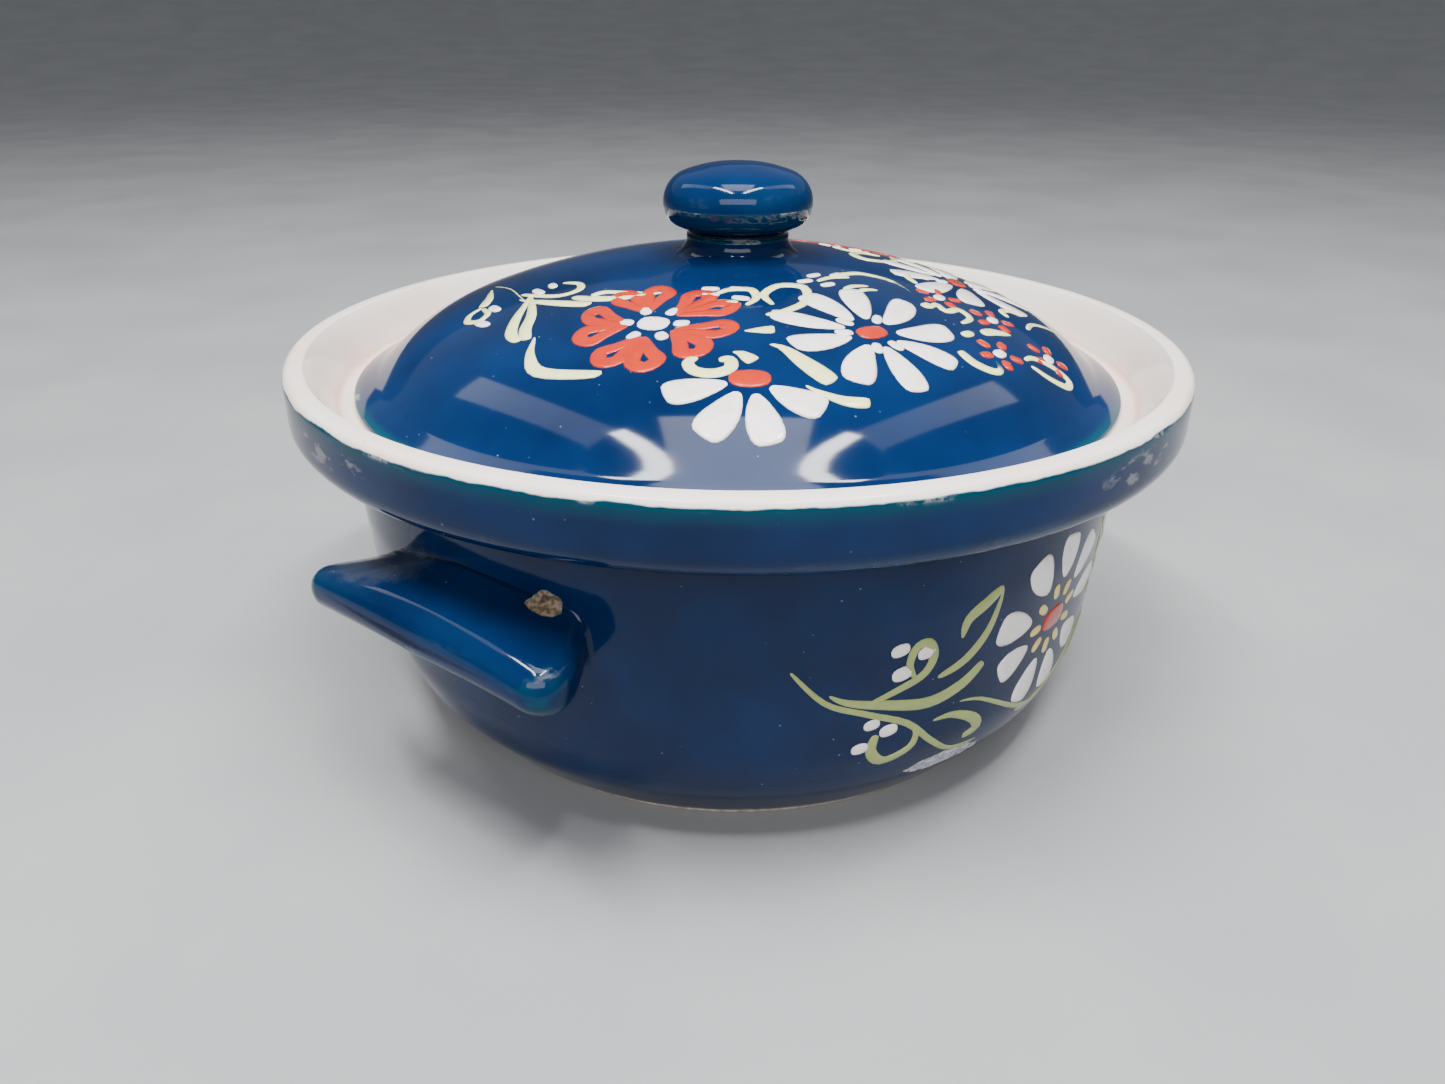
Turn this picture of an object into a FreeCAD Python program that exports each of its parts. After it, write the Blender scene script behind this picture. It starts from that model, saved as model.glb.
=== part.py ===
"""Low round stoneware casserole with two lug handles and a domed lid with a knob.

The pot stands on the plane z = 0 with its axis on Z and its two handles on the X axis. Every size is in
millimetres and is kept in the spreadsheet; every sketch, feature and boolean reads it from there.
"""
import FreeCAD
import Part
import Sketcher
import math
import os

SIZES = {
    # pot
    "rim_radius": 120.0,  # widest part of the rolled rim
    "pot_height": 101.5,  # foot to the crest of the rim
    "rim_overhang": 15.0,  # how far the roll stands out from the wall
    "rim_depth": 17.5,  # crest to the flat underside of the roll
    "rim_shoulder": 2.5,  # rounding at the roll's upper outer edge
    "rim_belly": 6.0,  # rounding at the roll's lower outer edge
    "crest_width": 5.2,  # crest to the widest part of the roll
    "crest_round": 2.2,  # rounding on the inner side of the crest
    "neck_round": 3.0,  # hollow rounding between wall and roll
    "seat_drop": 11.5,  # crest down to the ledge the lid sits on
    "seat_inset": 12.0,  # widest part of the roll in to the ledge's outer end
    "seat_round": 1.8,  # hollow rounding at the ledge's outer end
    "mouth_round": 1.5,  # rounding where the ledge turns down into the mouth
    "wall_thickness": 7.0,
    "wall_lean": 3.0,  # how much narrower the wall is at the belly than at the neck
    "neck_depth": 20.0,  # underside of the roll down to where the wall starts to lean
    "belly_height": 28.0,  # foot to where the wall turns in
    "belly_curve": 20.0,
    "heel_inset": 9.5,  # wall down to the heel: how far in, and at what height
    "heel_height": 14.2,
    "foot_inset": 21.5,  # neck wall in to the outside of the foot ring
    "foot_height": 3.5,
    "foot_width": 7.0,
    "foot_step": 3.0,  # the body stands out this far above the foot ring
    "foot_recess": 2.5,  # hollow under the base, inside the foot ring
    "floor_height": 11.0,  # foot to the cooking floor
    "floor_curve": 17.0,  # rounding between floor and wall inside
    # lid
    "lid_gap": 4.2,  # play between the lid's edge and the rim's inner slope
    "collar_gap": 3.0,  # play between the lid's collar and the mouth
    "collar_depth": 5.0,
    "collar_width": 5.5,
    "collar_round": 1.5,
    "lid_rise": 33.2,  # ledge to the top of the dome's curve
    "lid_thickness": 5.5,
    "crown_radius": 32.0,  # flat patch that carries the knob
    "crown_drop": 2.5,  # dome's curve down to that flat patch
    "shoulder_curve": 61.0,  # radius of the dome's steep outer part
    "shoulder_inset": 23.0,  # collar in to where the dome's flat middle meets its steep outer part
    "shoulder_drop": 12.6,
    "brim_inset": 1.6,  # collar in to where the dome meets the brim
    "brim_drop": 25.9,
    "brim_height": 1.8,  # height of the brim's outer edge
    "brim_round": 1.8,
    # knob
    "knob_base": 24.0,
    "knob_neck": 13.5,
    "knob_radius": 20.3,
    "knob_height": 25.3,  # flat patch to the top of the knob
    "flare_height": 5.5,
    "flare_curve": 13.0,
    "neck_height": 1.2,
    "cap_underside": 9.1,  # flat patch to the bottom of the cap
    "cap_inset": 4.0,
    "cap_lower_curve": 6.6,
    "cap_width_height": 16.0,  # flat patch to the widest part of the cap
    "cap_shoulder_inset": 6.3,
    "cap_shoulder_drop": 2.7,
    "cap_shoulder_curve": 8.5,
    # handles
    "handle_reach": 14.5,  # neck wall out to the ends of the tip
    "handle_drop": 13.5,  # underside of the roll down to the handle's top at the wall
    "handle_root": 13.5,  # thickness at the wall
    "handle_fall": 6.0,  # how much lower the tip's top is than the root's
    "handle_tip": 11.0,  # thickness at the tip
    "handle_root_half": 35.5,  # half the width at the wall
    "handle_tip_half": 44.0,  # half the width at the tip, before its corners are rounded
    "handle_arch": 108.0,  # radius of the handle's arch along its width, above
    "handle_hollow": 115.0,  # the same, below
    "handle_bow": 400.0,  # radius of the tip's outline seen from above
    "handle_corner": 8.0,  # rounding of the tip's corners, seen from above
    "handle_edge": 4.6,  # rounding all round the free edges
    "handle_turn": 180.0,  # degrees between the two handles
}

ARCH_ANGLE = 150.0  # degrees turned when the handle's top and underside are taken off
FLAT = 0.01

doc = FreeCAD.newDocument("casserole")
sheet = doc.addObject("Spreadsheet::Sheet", "sizes")
for row, (alias, number) in enumerate(SIZES.items(), start=1):
    sheet.set(f"A{row}", alias)
    sheet.set(f"B{row}", str(number))
    sheet.setAlias(f"B{row}", alias)
doc.recompute()


class Size:
    """A length worked out from the sheet: what it is now, and the expression that keeps it so."""

    def __init__(self, value, text):
        self.value = value
        self.text = text

    def _join(self, sign, other, value):
        other_text = other.text if isinstance(other, Size) else str(other)
        return Size(value, f"({self.text} {sign} {other_text})")

    def __add__(self, other):
        return self._join("+", other, self.value + plain(other))

    def __sub__(self, other):
        return self._join("-", other, self.value - plain(other))

    def __mul__(self, other):
        return self._join("*", other, self.value * plain(other))

    def __truediv__(self, other):
        return self._join("/", other, self.value / plain(other))


def plain(size):
    return size.value if isinstance(size, Size) else size


def cell(alias):
    return Size(float(getattr(sheet, alias)), f"sizes.{alias}")


S = {alias: cell(alias) for alias in SIZES}
ZERO = Size(0.0, "0")
DOMED = "domed"

# Heights and radii that more than one piece uses.
WALL = S["rim_radius"] - S["rim_overhang"]
ROLL_UNDER = S["pot_height"] - S["rim_depth"]
SEAT_HEIGHT = S["pot_height"] - S["seat_drop"]
SEAT_OUTER = S["rim_radius"] - S["seat_inset"]
MOUTH = WALL - S["wall_thickness"]
FOOT = WALL - S["foot_inset"]
COLLAR = MOUTH - S["collar_gap"]
LID_EDGE = SEAT_OUTER - S["lid_gap"]
DOME_TOP = SEAT_HEIGHT + S["lid_rise"]
CROWN = DOME_TOP - S["crown_drop"]


def domed_radius(start, end):
    """Radius of the arc from start to end whose centre is on the axis, where one of the ends is."""
    across, up = start.x - end.x, start.y - end.y
    return (across * across + up * up) / (2 * abs(up))


def arc_centre(start, end, radius):
    """Centre of the short arc from start to end, left of the way travelled if radius is positive."""
    chord = end - start
    half = chord.Length / 2
    height = math.sqrt(max(radius * radius - half * half, 0.0))
    left = FreeCAD.Vector(-chord.y, chord.x, 0).normalize()
    return (start + end) / 2 + left * math.copysign(height, radius)


def outline(body, name, plane, corners):
    """Sketch a closed outline. A corner is (across, up) or (across, up, radius, side).

    The last two make the edge from that corner to the next an arc. Side +1 puts its centre on the left.
    With DOMED for a radius, the arc's centre is on the axis, which one of its ends touches.
    """
    sketch = body.newObject("Sketcher::SketchObject", name)
    origin = [feature for feature in body.Origin.OriginFeatures if feature.Role == plane][0]
    sketch.AttachmentSupport = [(origin, "")]
    sketch.MapMode = "FlatFace"
    points = [FreeCAD.Vector(plain(corner[0]), plain(corner[1]), 0) for corner in corners]
    ends = []
    for index, corner in enumerate(corners):
        start, end = points[index], points[(index + 1) % len(points)]
        if len(corner) == 2:
            edge = sketch.addGeometry(Part.LineSegment(start, end), False)
            ends.append((edge, 1, 2))
            continue
        radius, side = corner[2], corner[3]
        length = domed_radius(start, end) if radius is DOMED else radius.value
        centre = arc_centre(start, end, length * side)
        first, last = (start, end) if side > 0 else (end, start)
        angles = [math.atan2(point.y - centre.y, point.x - centre.x) for point in (first, last)]
        circle = Part.Circle(centre, FreeCAD.Vector(0, 0, 1), length)
        edge = sketch.addGeometry(Part.ArcOfCircle(circle, *angles), False)
        ends.append((edge, 1, 2) if side > 0 else (edge, 2, 1))
        if radius is DOMED:
            sketch.addConstraint(Sketcher.Constraint("PointOnObject", edge, 3, -2))
        else:
            bind(sketch, Sketcher.Constraint("Radius", edge, length), radius)
    for index, corner in enumerate(corners):
        edge, start, _ = ends[index]
        before, _, end = ends[index - 1]
        sketch.addConstraint(Sketcher.Constraint("Coincident", before, end, edge, start))
        for kind, axis, size in (("DistanceX", -2, corner[0]), ("DistanceY", -1, corner[1])):
            if size is ZERO:
                sketch.addConstraint(Sketcher.Constraint("PointOnObject", edge, start, axis))
            else:
                bind(sketch, Sketcher.Constraint(kind, -1, 1, edge, start, size.value), size)
    return sketch


def bind(sketch, constraint, size):
    index = sketch.addConstraint(constraint)
    sketch.setExpression(f"Constraints[{index}]", size.text)


def turned(body, kind, name, sketch, axis="V_Axis"):
    feature = body.newObject(f"PartDesign::{kind}", name)
    feature.Profile = sketch
    feature.ReferenceAxis = (sketch, [axis])
    feature.Angle = 360
    return feature


def new_body(name):
    return doc.addObject("PartDesign::Body", name)


def pot_outside():
    """Outside of the pot from the base's centre, up the wall and over the rim's roll, to the axis."""
    low_wall = WALL - S["wall_lean"]
    return [
        (ZERO, ZERO),
        (FOOT, ZERO),
        (FOOT, S["foot_height"]),
        (FOOT + S["foot_step"], S["foot_height"]),
        (WALL - S["heel_inset"], S["heel_height"], S["belly_curve"], 1),
        (low_wall, S["belly_height"]),
        (WALL, ROLL_UNDER - S["neck_depth"]),
        (WALL, ROLL_UNDER - S["neck_round"], S["neck_round"], -1),
        (WALL + S["neck_round"], ROLL_UNDER),
        (S["rim_radius"] - S["rim_belly"], ROLL_UNDER, S["rim_belly"], 1),
        (S["rim_radius"], ROLL_UNDER + S["rim_belly"]),
        (S["rim_radius"], S["pot_height"] - S["rim_shoulder"], S["rim_shoulder"], 1),
        (S["rim_radius"] - S["rim_shoulder"], S["pot_height"]),
        (ZERO, S["pot_height"]),
    ]


def pot_inside():
    """Everything taken out of the pot from above: the rim's inner slope, the ledge and the hollow."""
    crest = S["rim_radius"] - S["crest_width"]
    above = S["pot_height"] + S["rim_depth"]
    low_mouth = MOUTH - S["wall_lean"]
    return [
        (ZERO, S["floor_height"]),
        (low_mouth - S["floor_curve"], S["floor_height"], S["floor_curve"], 1),
        (low_mouth, S["floor_height"] + S["floor_curve"]),
        (MOUTH, ROLL_UNDER - S["neck_depth"]),
        (MOUTH, SEAT_HEIGHT - S["mouth_round"], S["mouth_round"], -1),
        (MOUTH + S["mouth_round"], SEAT_HEIGHT),
        (SEAT_OUTER, SEAT_HEIGHT, S["seat_round"], 1),
        (SEAT_OUTER + S["seat_round"], SEAT_HEIGHT + S["seat_round"]),
        (crest - S["crest_round"], S["pot_height"] - S["crest_round"], S["crest_round"], -1),
        (crest, S["pot_height"]),
        (crest, above),
        (ZERO, above),
    ]


def foot_hollow():
    inner = FOOT - S["foot_width"]
    return [
        (ZERO, ZERO),
        (inner, ZERO),
        (inner - S["foot_recess"], S["foot_recess"]),
        (ZERO, S["foot_recess"]),
    ]


def lid_section():
    """Dome, brim and locating collar of the lid, with a hollow underside."""
    inner_top = DOME_TOP - S["lid_thickness"]
    collar_in = COLLAR - S["collar_width"]
    collar_low = SEAT_HEIGHT - S["collar_depth"]
    shoulder = COLLAR - S["shoulder_inset"]
    brim_top = DOME_TOP - S["brim_drop"]
    inner_shoulder = S["shoulder_curve"] - S["lid_thickness"]
    crown_curve = (shoulder * shoulder + S["shoulder_drop"] * S["shoulder_drop"]) / (S["shoulder_drop"] * 2)
    return [
        (ZERO, CROWN),
        (ZERO, inner_top, DOMED, -1),
        (shoulder - S["lid_thickness"] / 3, inner_top - S["shoulder_drop"], inner_shoulder, -1),
        (collar_in, brim_top - S["lid_thickness"] * 3 / 4),
        (collar_in, collar_low + S["collar_round"], S["collar_round"], 1),
        (collar_in + S["collar_round"], collar_low),
        (COLLAR - S["collar_round"], collar_low, S["collar_round"], 1),
        (COLLAR, collar_low + S["collar_round"]),
        (COLLAR, SEAT_HEIGHT),
        (LID_EDGE - S["brim_round"], SEAT_HEIGHT, S["brim_round"], 1),
        (LID_EDGE, SEAT_HEIGHT + S["brim_height"]),
        (COLLAR - S["brim_inset"], brim_top, S["shoulder_curve"], 1),
        (shoulder, DOME_TOP - S["shoulder_drop"], crown_curve, 1),
        (S["crown_radius"], CROWN),
    ]


def knob_section():
    """Knob from the flat patch on the dome: flared base, neck, and mushroom cap."""
    neck = CROWN + S["flare_height"]
    cap_low = CROWN + S["cap_underside"]
    shoulder = CROWN + S["knob_height"] - S["cap_shoulder_drop"]
    return [
        (ZERO, CROWN),
        (S["knob_base"], CROWN, S["flare_curve"], -1),
        (S["knob_neck"], neck),
        (S["knob_neck"], neck + S["neck_height"]),
        (S["knob_radius"] - S["cap_inset"], cap_low, S["cap_lower_curve"], 1),
        (S["knob_radius"], CROWN + S["cap_width_height"], S["cap_shoulder_curve"], 1),
        (S["knob_radius"] - S["cap_shoulder_inset"], shoulder, DOMED, 1),
        (ZERO, CROWN + S["knob_height"]),
    ]


def make_pot():
    body = new_body("pot_body")
    turned(body, "Revolution", "pot_solid", outline(body, "pot_outline", "XZ_Plane", pot_outside()))
    turned(body, "Groove", "pot_hollow", outline(body, "hollow_outline", "XZ_Plane", pot_inside()))
    turned(body, "Groove", "foot_ring", outline(body, "foot_outline", "XZ_Plane", foot_hollow()))
    return body


def make_turned_piece(name, section):
    body = new_body(name)
    turned(body, "Revolution", f"{name}_solid", outline(body, f"{name}_outline", "XZ_Plane", section))
    return body


def make_handle(name):
    """A lug handle on the +X side, cut to sit on the wall.

    Its outline seen from above is padded up, its sloping and arched top and underside are turned off,
    its free edges are rounded, and the outside of the pot is taken out of it.
    """
    body = new_body(name)
    inner = WALL - S["handle_reach"]
    outer = WALL + S["handle_reach"]
    inner_half = S["handle_root_half"] * 2 - S["handle_tip_half"]
    pad = body.newObject("PartDesign::Pad", f"{name}_block")
    pad.Profile = outline(body, f"{name}_plan", "XY_Plane", [
        (inner, ZERO - inner_half),
        (outer, ZERO - S["handle_tip_half"], S["handle_bow"], 1),
        (outer, S["handle_tip_half"]),
        (inner, inner_half),
    ])
    pad.setExpression("Length", ROLL_UNDER.text)
    round_edges(body, f"{name}_corners", S["handle_corner"], inner.value, upright=True)

    root_top = ROLL_UNDER - S["handle_drop"]
    root_low = root_top - S["handle_root"]
    tip_top = root_top - S["handle_fall"]
    tip_low = tip_top - S["handle_tip"]
    near, far = inner - S["handle_reach"], outer + S["handle_reach"]
    near_top, far_top = root_top + S["handle_fall"] * 2, tip_top - S["handle_fall"]
    near_low, far_low = root_low * 3 - tip_low * 2, tip_low * 2 - root_low
    below, above = ZERO - S["handle_root"], S["pot_height"]
    take_off(body, f"{name}_top", root_top - S["handle_arch"], [
        (near, near_top), (far, far_top), (far, above), (near, above)])
    take_off(body, f"{name}_underside", root_low - S["handle_hollow"], [
        (near, below), (far, below), (far, far_low), (near, near_low)])
    round_edges(body, f"{name}_edges", S["handle_edge"], inner.value, upright=False)
    turned(body, "Groove", f"{name}_seat", outline(body, f"{name}_wall", "XZ_Plane", pot_outside()))
    return body


def take_off(body, name, arch_centre, corners):
    """Turn a four-cornered section about a line along X, so that what it leaves is arched over Y."""
    sketch = outline(body, f"{name}_outline", "XZ_Plane", corners)
    ends = [corners[0][0], corners[1][0]]
    line = Part.LineSegment(*[FreeCAD.Vector(plain(end), plain(arch_centre), 0) for end in ends])
    axis = sketch.addGeometry(line, True)
    for point, across in enumerate(ends, start=1):
        bind(sketch, Sketcher.Constraint("DistanceX", -1, 1, axis, point, across.value), across)
        bind(sketch, Sketcher.Constraint("DistanceY", -1, 1, axis, point, arch_centre.value), arch_centre)
    turned(body, "Groove", name, sketch, "Axis0").Midplane = True
    body.Tip.Angle = ARCH_ANGLE


def round_edges(body, name, size, inner, upright):
    """Round the body's free edges, upright or not: all but the ones at its inner end."""
    doc.recompute()
    base = body.Tip
    free = []
    for number, edge in enumerate(base.Shape.Edges, start=1):
        box = edge.BoundBox
        is_upright = max(box.XLength, box.YLength) < FLAT
        if is_upright == upright and box.XMax > inner + FLAT:
            free.append(f"Edge{number}")
    fillet = body.newObject("PartDesign::Fillet", name)
    fillet.Base = (base, free)
    fillet.setExpression("Radius", size.text)


pot = make_pot()
handle_right = make_handle("handle_right")
handle_left = make_handle("handle_left")
lid_dome = make_turned_piece("lid_dome", lid_section())
lid_knob = make_turned_piece("lid_knob", knob_section())
doc.recompute()
handle_left.Placement = FreeCAD.Placement(
    FreeCAD.Vector(), FreeCAD.Rotation(FreeCAD.Vector(0, 0, 1), S["handle_turn"].value))
doc.recompute()

for item in doc.Objects:
    if "Invalid" in item.State or "Error" in item.State:
        raise RuntimeError(f"{item.Name} did not build: {item.State}")
os.makedirs("parts", exist_ok=True)
for piece in (pot, handle_left, handle_right, lid_dome, lid_knob):
    shape = piece.Shape
    if shape.isNull() or not shape.isValid() or len(shape.Solids) != 1:
        raise RuntimeError(f"{piece.Label} is not one whole solid")
    shape.exportStep(f"parts/{piece.Label}.step")
    print(piece.Label, "volume", round(shape.Volume / 1000, 1), "cm3")
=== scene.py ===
"""Low round stoneware casserole: blue glaze outside, cream white inside, painted with thick coloured slip.

The pot, the lid and the knob are turned from their outlines. The two lug handles are drawn out of the wall.
Every painted mark is a thin raised stroke that lies on the glaze.
Lengths are in metres and angles in degrees, except where a motif is painted: its places are in millimetres.
"""
import math
import random
from functools import partial

import bmesh
import bpy
from mathutils import Matrix, Vector, noise


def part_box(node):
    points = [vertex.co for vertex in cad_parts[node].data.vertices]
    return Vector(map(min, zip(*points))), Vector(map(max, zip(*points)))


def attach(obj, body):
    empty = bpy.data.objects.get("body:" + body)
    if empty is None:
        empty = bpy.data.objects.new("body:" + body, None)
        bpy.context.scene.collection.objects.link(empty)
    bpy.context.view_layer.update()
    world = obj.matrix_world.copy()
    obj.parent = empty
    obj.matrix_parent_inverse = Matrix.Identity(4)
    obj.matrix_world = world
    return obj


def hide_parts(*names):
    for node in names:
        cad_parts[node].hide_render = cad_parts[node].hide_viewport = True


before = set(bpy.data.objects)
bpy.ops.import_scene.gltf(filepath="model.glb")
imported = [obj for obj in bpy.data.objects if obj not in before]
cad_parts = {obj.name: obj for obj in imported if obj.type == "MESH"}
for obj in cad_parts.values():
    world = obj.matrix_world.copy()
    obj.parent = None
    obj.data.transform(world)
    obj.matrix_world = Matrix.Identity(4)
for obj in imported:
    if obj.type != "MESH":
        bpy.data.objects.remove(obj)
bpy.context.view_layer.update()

MM = 0.001
AXIS = Vector((0, 0, 1))

# Driving sizes, from the frame. A box is its low corner and its high corner.
pot_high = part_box("pot_body")[1]
dome_low, dome_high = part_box("lid_dome")
knob_low, knob_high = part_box("lid_knob")
handle_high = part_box("handle_right")[1]
RIM = pot_high.x
POT_TOP = pot_high.z
LID_EDGE = dome_high.x
COLLAR_LOW = dome_low.z
CROWN = knob_low.z
KNOB = knob_high.x - 3.7 * MM  # the cap: the box is as wide as the knob's flared base
KNOB_TOP = knob_high.z
HANDLE_TIP = handle_high.x

WALL = RIM - 15 * MM  # the wall's outside, at its widest
ROLL_UNDER = POT_TOP - 17.5 * MM  # underside of the rolled rim
LEDGE = POT_TOP - 11.5 * MM  # what the lid rests on
MOUTH = WALL - 7 * MM  # the wall's inside
FOOT = WALL - 21.5 * MM  # the foot ring's outside
FLOOR = 11 * MM  # the pot's floor, inside
COLLAR = MOUTH - 3 * MM  # outside of the lid's collar
DOME_TOP = CROWN + 2.5 * MM  # the dome's peak, which the knob covers

ARC_STEP = math.radians(12)  # how finely a rounding is divided
RUN = 3 * MM  # longest piece of an outline left undivided
FULLEST = 0.98  # the most of a straight run that one rounding may take up
TURN_STEPS = 192
UNEVEN = 0.0022  # how far out of round the pot is, as a share of its radius
UNEVEN_SCALE = 22.0  # how closely its unevenness varies, in 1/m
SHORTEST = 0.1 * MM  # mesh edges are taken as this long at least when a bend is measured
UNMARKED = -50 * MM  # what a mark's distance reads where the piece has no such mark


def ray(turn, length):
    """A flat arrow of that length along a heading."""
    return Vector((math.cos(math.radians(turn)), math.sin(math.radians(turn)))) * length


class Outline:
    """A turned piece's outline, from axis to axis. A corner is (radius, height, rounding, name)."""

    def __init__(self, *corners):
        self.points = []
        self.corner_at = {}
        places = [Vector(corner[:2]) for corner in corners]
        for number, corner in enumerate(corners):
            first = len(self.points)
            if len(corner) > 2 and corner[2]:
                self._round(places[number - 1], places[number], places[number + 1], corner[2])
            else:
                self._run_to(places[number])
            if len(corner) > 3:
                self.corner_at[corner[3]] = (first + len(self.points) - 1) // 2
        self.along = [0.0]
        for start, end in zip(self.points, self.points[1:]):
            self.along.append(self.along[-1] + (end - start).length)

    def _run_to(self, end):
        if self.points:
            start = self.points[-1]
            pieces = max(1, math.ceil((end - start).length / RUN))
            self.points += [start.lerp(end, piece / pieces) for piece in range(1, pieces)]
        self.points.append(end)

    def _round(self, before, corner, after, rounding):
        back, ahead = before - corner, after - corner
        half = back.angle(ahead) / 2
        reach = min(rounding / math.tan(half), FULLEST * back.length, FULLEST * ahead.length)
        middle = (back.normalized() + ahead.normalized()).normalized() * (reach / math.cos(half))
        start = back.normalized() * reach - middle
        turn = start.angle_signed(ahead.normalized() * reach - middle)
        pieces = max(2, math.ceil(abs(turn) / ARC_STEP), math.ceil(abs(turn) * start.length / RUN))
        for piece in range(pieces + 1):
            spoke = Matrix.Rotation(-turn * piece / pieces, 2) @ start
            point = corner + middle + spoke
            if piece == 0:
                self._run_to(point)
            else:
                self.points.append(point)

    def past(self, name):
        """How far along the outline each point lies past a named corner: less than 0 before it."""
        here = self.along[self.corner_at[name]]
        return [step - here for step in self.along]

    def band(self, *names, half):
        """How far inside a band round the nearest of the named corners each point is."""
        middles = [self.along[self.corner_at[name]] for name in names]
        return [half - min(abs(step - middle) for middle in middles) for step in self.along]


pot_line = Outline(
    (0, 2.5 * MM),
    (FOOT - 9.5 * MM, 2.5 * MM, 1 * MM),
    (FOOT - 7 * MM, 0, 0.8 * MM, "foot_inner"),
    (FOOT, 0, 0.8 * MM, "foot_outer"),
    (FOOT, 3.5 * MM, 0.6 * MM),
    (FOOT + 3 * MM, 3.5 * MM, 0.8 * MM, "heel"),
    (WALL - 6.6 * MM, 17.6 * MM, 24 * MM),
    (WALL - 3 * MM, 28 * MM, 26 * MM),
    (WALL, ROLL_UNDER - 20 * MM, 30 * MM),
    (WALL, ROLL_UNDER, 3 * MM, "neck"),
    (RIM, ROLL_UNDER, 6 * MM),
    (RIM, POT_TOP, 2.5 * MM, "shoulder"),
    (RIM - 5.2 * MM, POT_TOP, 0.7 * MM),
    (RIM - 6.6 * MM, POT_TOP - 2.2 * MM, 2.2 * MM),
    (RIM - 12 * MM, LEDGE, 1.8 * MM, "ledge"),
    (MOUTH, LEDGE, 1.5 * MM),
    (MOUTH, ROLL_UNDER - 20 * MM, 30 * MM),
    (MOUTH - 3 * MM, FLOOR, 17 * MM),
    (0, FLOOR),
)
lid_line = Outline(
    (0, DOME_TOP),
    (37.1 * MM, DOME_TOP, 212 * MM),
    (84 * MM, DOME_TOP - 16.9 * MM, 61 * MM),  # shoulder
    (97.6 * MM, DOME_TOP - 28.3 * MM, 7 * MM, "flute"),
    (LID_EDGE, LEDGE + 1.6 * MM, 1 * MM),  # brim
    (LID_EDGE, LEDGE, 0.6 * MM, "seat_outer"),
    (COLLAR, LEDGE, 0.8 * MM, "seat_inner"),
    (COLLAR, COLLAR_LOW, 1.5 * MM),
    (COLLAR - 5.5 * MM, COLLAR_LOW, 1.5 * MM),
    (COLLAR - 5.5 * MM, DOME_TOP - 30 * MM, 6 * MM),
    (78 * MM, DOME_TOP - 21.5 * MM, 50 * MM),
    (38 * MM, DOME_TOP - 5.5 * MM, 180 * MM),
    (0, DOME_TOP - 5.5 * MM),
)
knob_line = Outline(
    (0, CROWN - 1 * MM),
    (27.5 * MM, CROWN - 0.6 * MM, 0.2 * MM),
    (24.5 * MM, CROWN + 0.4 * MM, 8 * MM),  # skirt
    (KNOB - 7 * MM, CROWN + 2.2 * MM, 9 * MM),
    (KNOB - 6.6 * MM, CROWN + 7.4 * MM, 0.5 * MM, "ring"),
    (KNOB - 7.2 * MM, CROWN + 8.1 * MM, 0.6 * MM),  # groove
    (KNOB - 1.2 * MM, CROWN + 10.6 * MM, 4.5 * MM),
    (KNOB - 0.3 * MM, CROWN + 14.6 * MM, 1.4 * MM, "crease"),
    (KNOB, CROWN + 21.2 * MM, 10 * MM),
    (7 * MM, KNOB_TOP, 34 * MM),
    (0, KNOB_TOP),
)


def wobble(point):
    """Where a point of a perfect pot lies on this hand-finished one."""
    return point + Vector((point.x, point.y, 0)) * UNEVEN * noise.noise(point * UNEVEN_SCALE)


def shade_smooth(bm):
    for face in bm.faces:
        face.smooth = True


def note_edges(bm):
    """Keep how sharply the surface turns at each point, in 1/m: positive on edges, negative in hollows."""
    bm.normal_update()
    layer = bm.verts.layers.float.new("edge")
    for vert in bm.verts:
        bends = []
        for link in vert.link_edges:
            side = vert.co - link.other_vert(vert).co
            bends.append(2 * side.dot(vert.normal) / max(side.length_squared, SHORTEST ** 2))
        vert[layer] = (max(bends) + min(bends)) / 2


def finish_piece(bm, name, body, material, *nodes):
    """Make the piece, with its finish, and hang it on its body."""
    mesh = bpy.data.meshes.new(name)
    bm.to_mesh(mesh)
    bm.free()
    mesh.materials.append(material)
    piece = bpy.data.objects.new(name, mesh)
    bpy.context.scene.collection.objects.link(piece)
    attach(piece, body)
    if nodes:
        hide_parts(*nodes)


def turned(line, steps, **marks):
    """Turn an outline about the pot's axis. Marks are numbers along it that the finish reads."""
    bm = bmesh.new()
    layers = {name: bm.verts.layers.float.new(name) for name in marks}
    verts = [bm.verts.new((point.x, 0, point.y)) for point in line.points]
    for name, values in marks.items():
        for vert, value in zip(verts, values):
            vert[layers[name]] = value
    edges = [bm.edges.new(pair) for pair in zip(verts, verts[1:])]
    bmesh.ops.spin(bm, geom=verts + edges, cent=(0, 0, 0), axis=AXIS, dvec=(0, 0, 0), angle=math.tau,
                   steps=steps, use_merge=True, use_normal_flip=False, use_duplicate=False)
    bmesh.ops.remove_doubles(bm, verts=bm.verts, dist=0.002 * MM)
    bmesh.ops.recalc_face_normals(bm, faces=bm.faces)
    for vert in bm.verts:
        vert.co = wobble(vert.co)
    note_edges(bm)
    shade_smooth(bm)
    return bm


# ---------------------------------------------------------------- finishes

class Value:
    """A number that varies over a surface. Sums and products of it add their Math nodes."""

    def __init__(self, finish, socket):
        self.finish = finish
        self.socket = socket

    def _math(self, operation, *values):
        links = dict(enumerate(values))
        return self.finish.node("ShaderNodeMath", {"operation": operation}, links)

    def __add__(self, other):
        return self._math("ADD", self, other)

    def __sub__(self, other):
        return self._math("SUBTRACT", self, other)

    def __rsub__(self, other):
        return self._math("SUBTRACT", other, self)

    def __mul__(self, other):
        return self._math("MULTIPLY", self, other)

    def larger(self, other):
        return self._math("MAXIMUM", self, other)

    def step(self, start, end):
        """0 before start, 1 after end, and smooth between them."""
        settings = {"interpolation_type": "SMOOTHSTEP"}
        return self.finish.node("ShaderNodeMapRange", settings, {0: self, 1: start, 2: end})


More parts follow.
